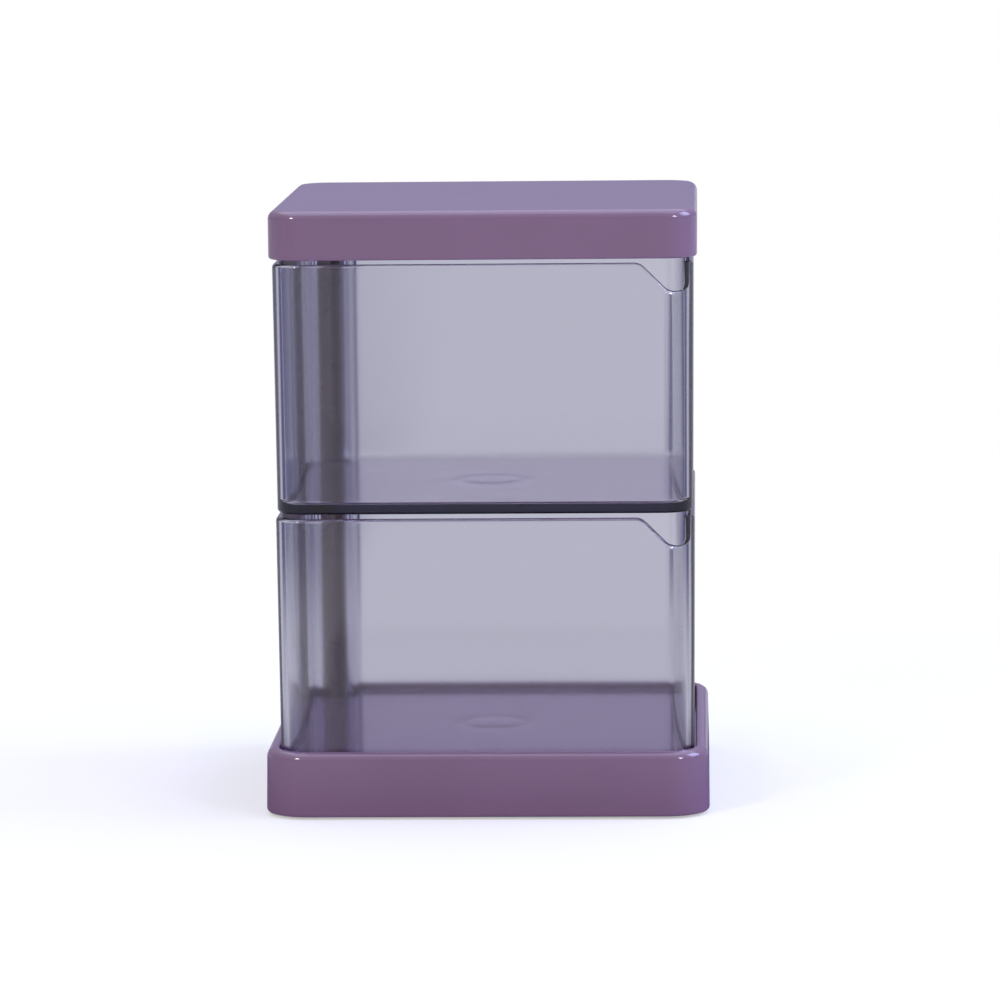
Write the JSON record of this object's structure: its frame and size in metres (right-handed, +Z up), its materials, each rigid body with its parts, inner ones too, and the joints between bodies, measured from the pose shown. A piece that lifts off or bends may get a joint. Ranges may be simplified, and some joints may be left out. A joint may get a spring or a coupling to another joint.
{
  "type": "swivel desk organizer",
  "caption": "Desk organizer with stacked clear boxes and a lid on a corner post: the upper box and the lid swing out sideways, each on its own, over a fixed lower box in a rimmed base.",
  "frame": {"origin": "middle of the footprint on the desk, under the feet", "axes": "+Z up, front with the finger scoops towards -Y, swivel post at the rear left (-X, +Y)"},
  "size_m": [0.1006, 0.1006, 0.1371],
  "materials": {
    "lilac_abs": "injection moulded ABS, polished gloss, lilac mauve",
    "clear_ps": "clear polystyrene with a smoke lavender tint, polished",
    "steel": "drawn steel rod, dull bright",
    "zinc_screw": "zinc plated steel",
    "white_nylon": "natural nylon, die cut or turned",
    "cover_abs": "injection moulded ABS, fine spark texture, lilac mauve",
    "foot_rubber": "pale grey silicone rubber"
  },
  "bodies": {
    "base": {"base_tray": "lilac_abs", "base_cover": "cover_abs", "cover_screws": "zinc_screw", "foot_front_left": "foot_rubber", "foot_front_right": "foot_rubber", "foot_rear_right": "foot_rubber", "foot_rear_left": "foot_rubber", "pivot_post": "steel", "post_foot_washer": "zinc_screw", "post_foot_screw": "zinc_screw", "lower_box": "clear_ps", "lower_spacer": "white_nylon", "lid_cap_washer": "zinc_screw", "lid_cap_screw": "zinc_screw"},
    "upper_box": {"upper_box": "clear_ps", "upper_spacer": "white_nylon"},
    "lid": {"lid_shell": "lilac_abs", "lid_liner": "cover_abs"}
  },
  "joints": [
    {"name": "upper_box_swivel", "type": "hinge", "parent": "base", "child": "upper_box", "pos_m": [-0.0402, 0.0402, 0.0689], "axis": [0, 0, 1], "continuous": true},
    {"name": "lid_swivel", "type": "hinge", "parent": "base", "child": "lid", "pos_m": [-0.0402, 0.0402, 0.1261], "axis": [0, 0, 1], "continuous": true}
  ]
}
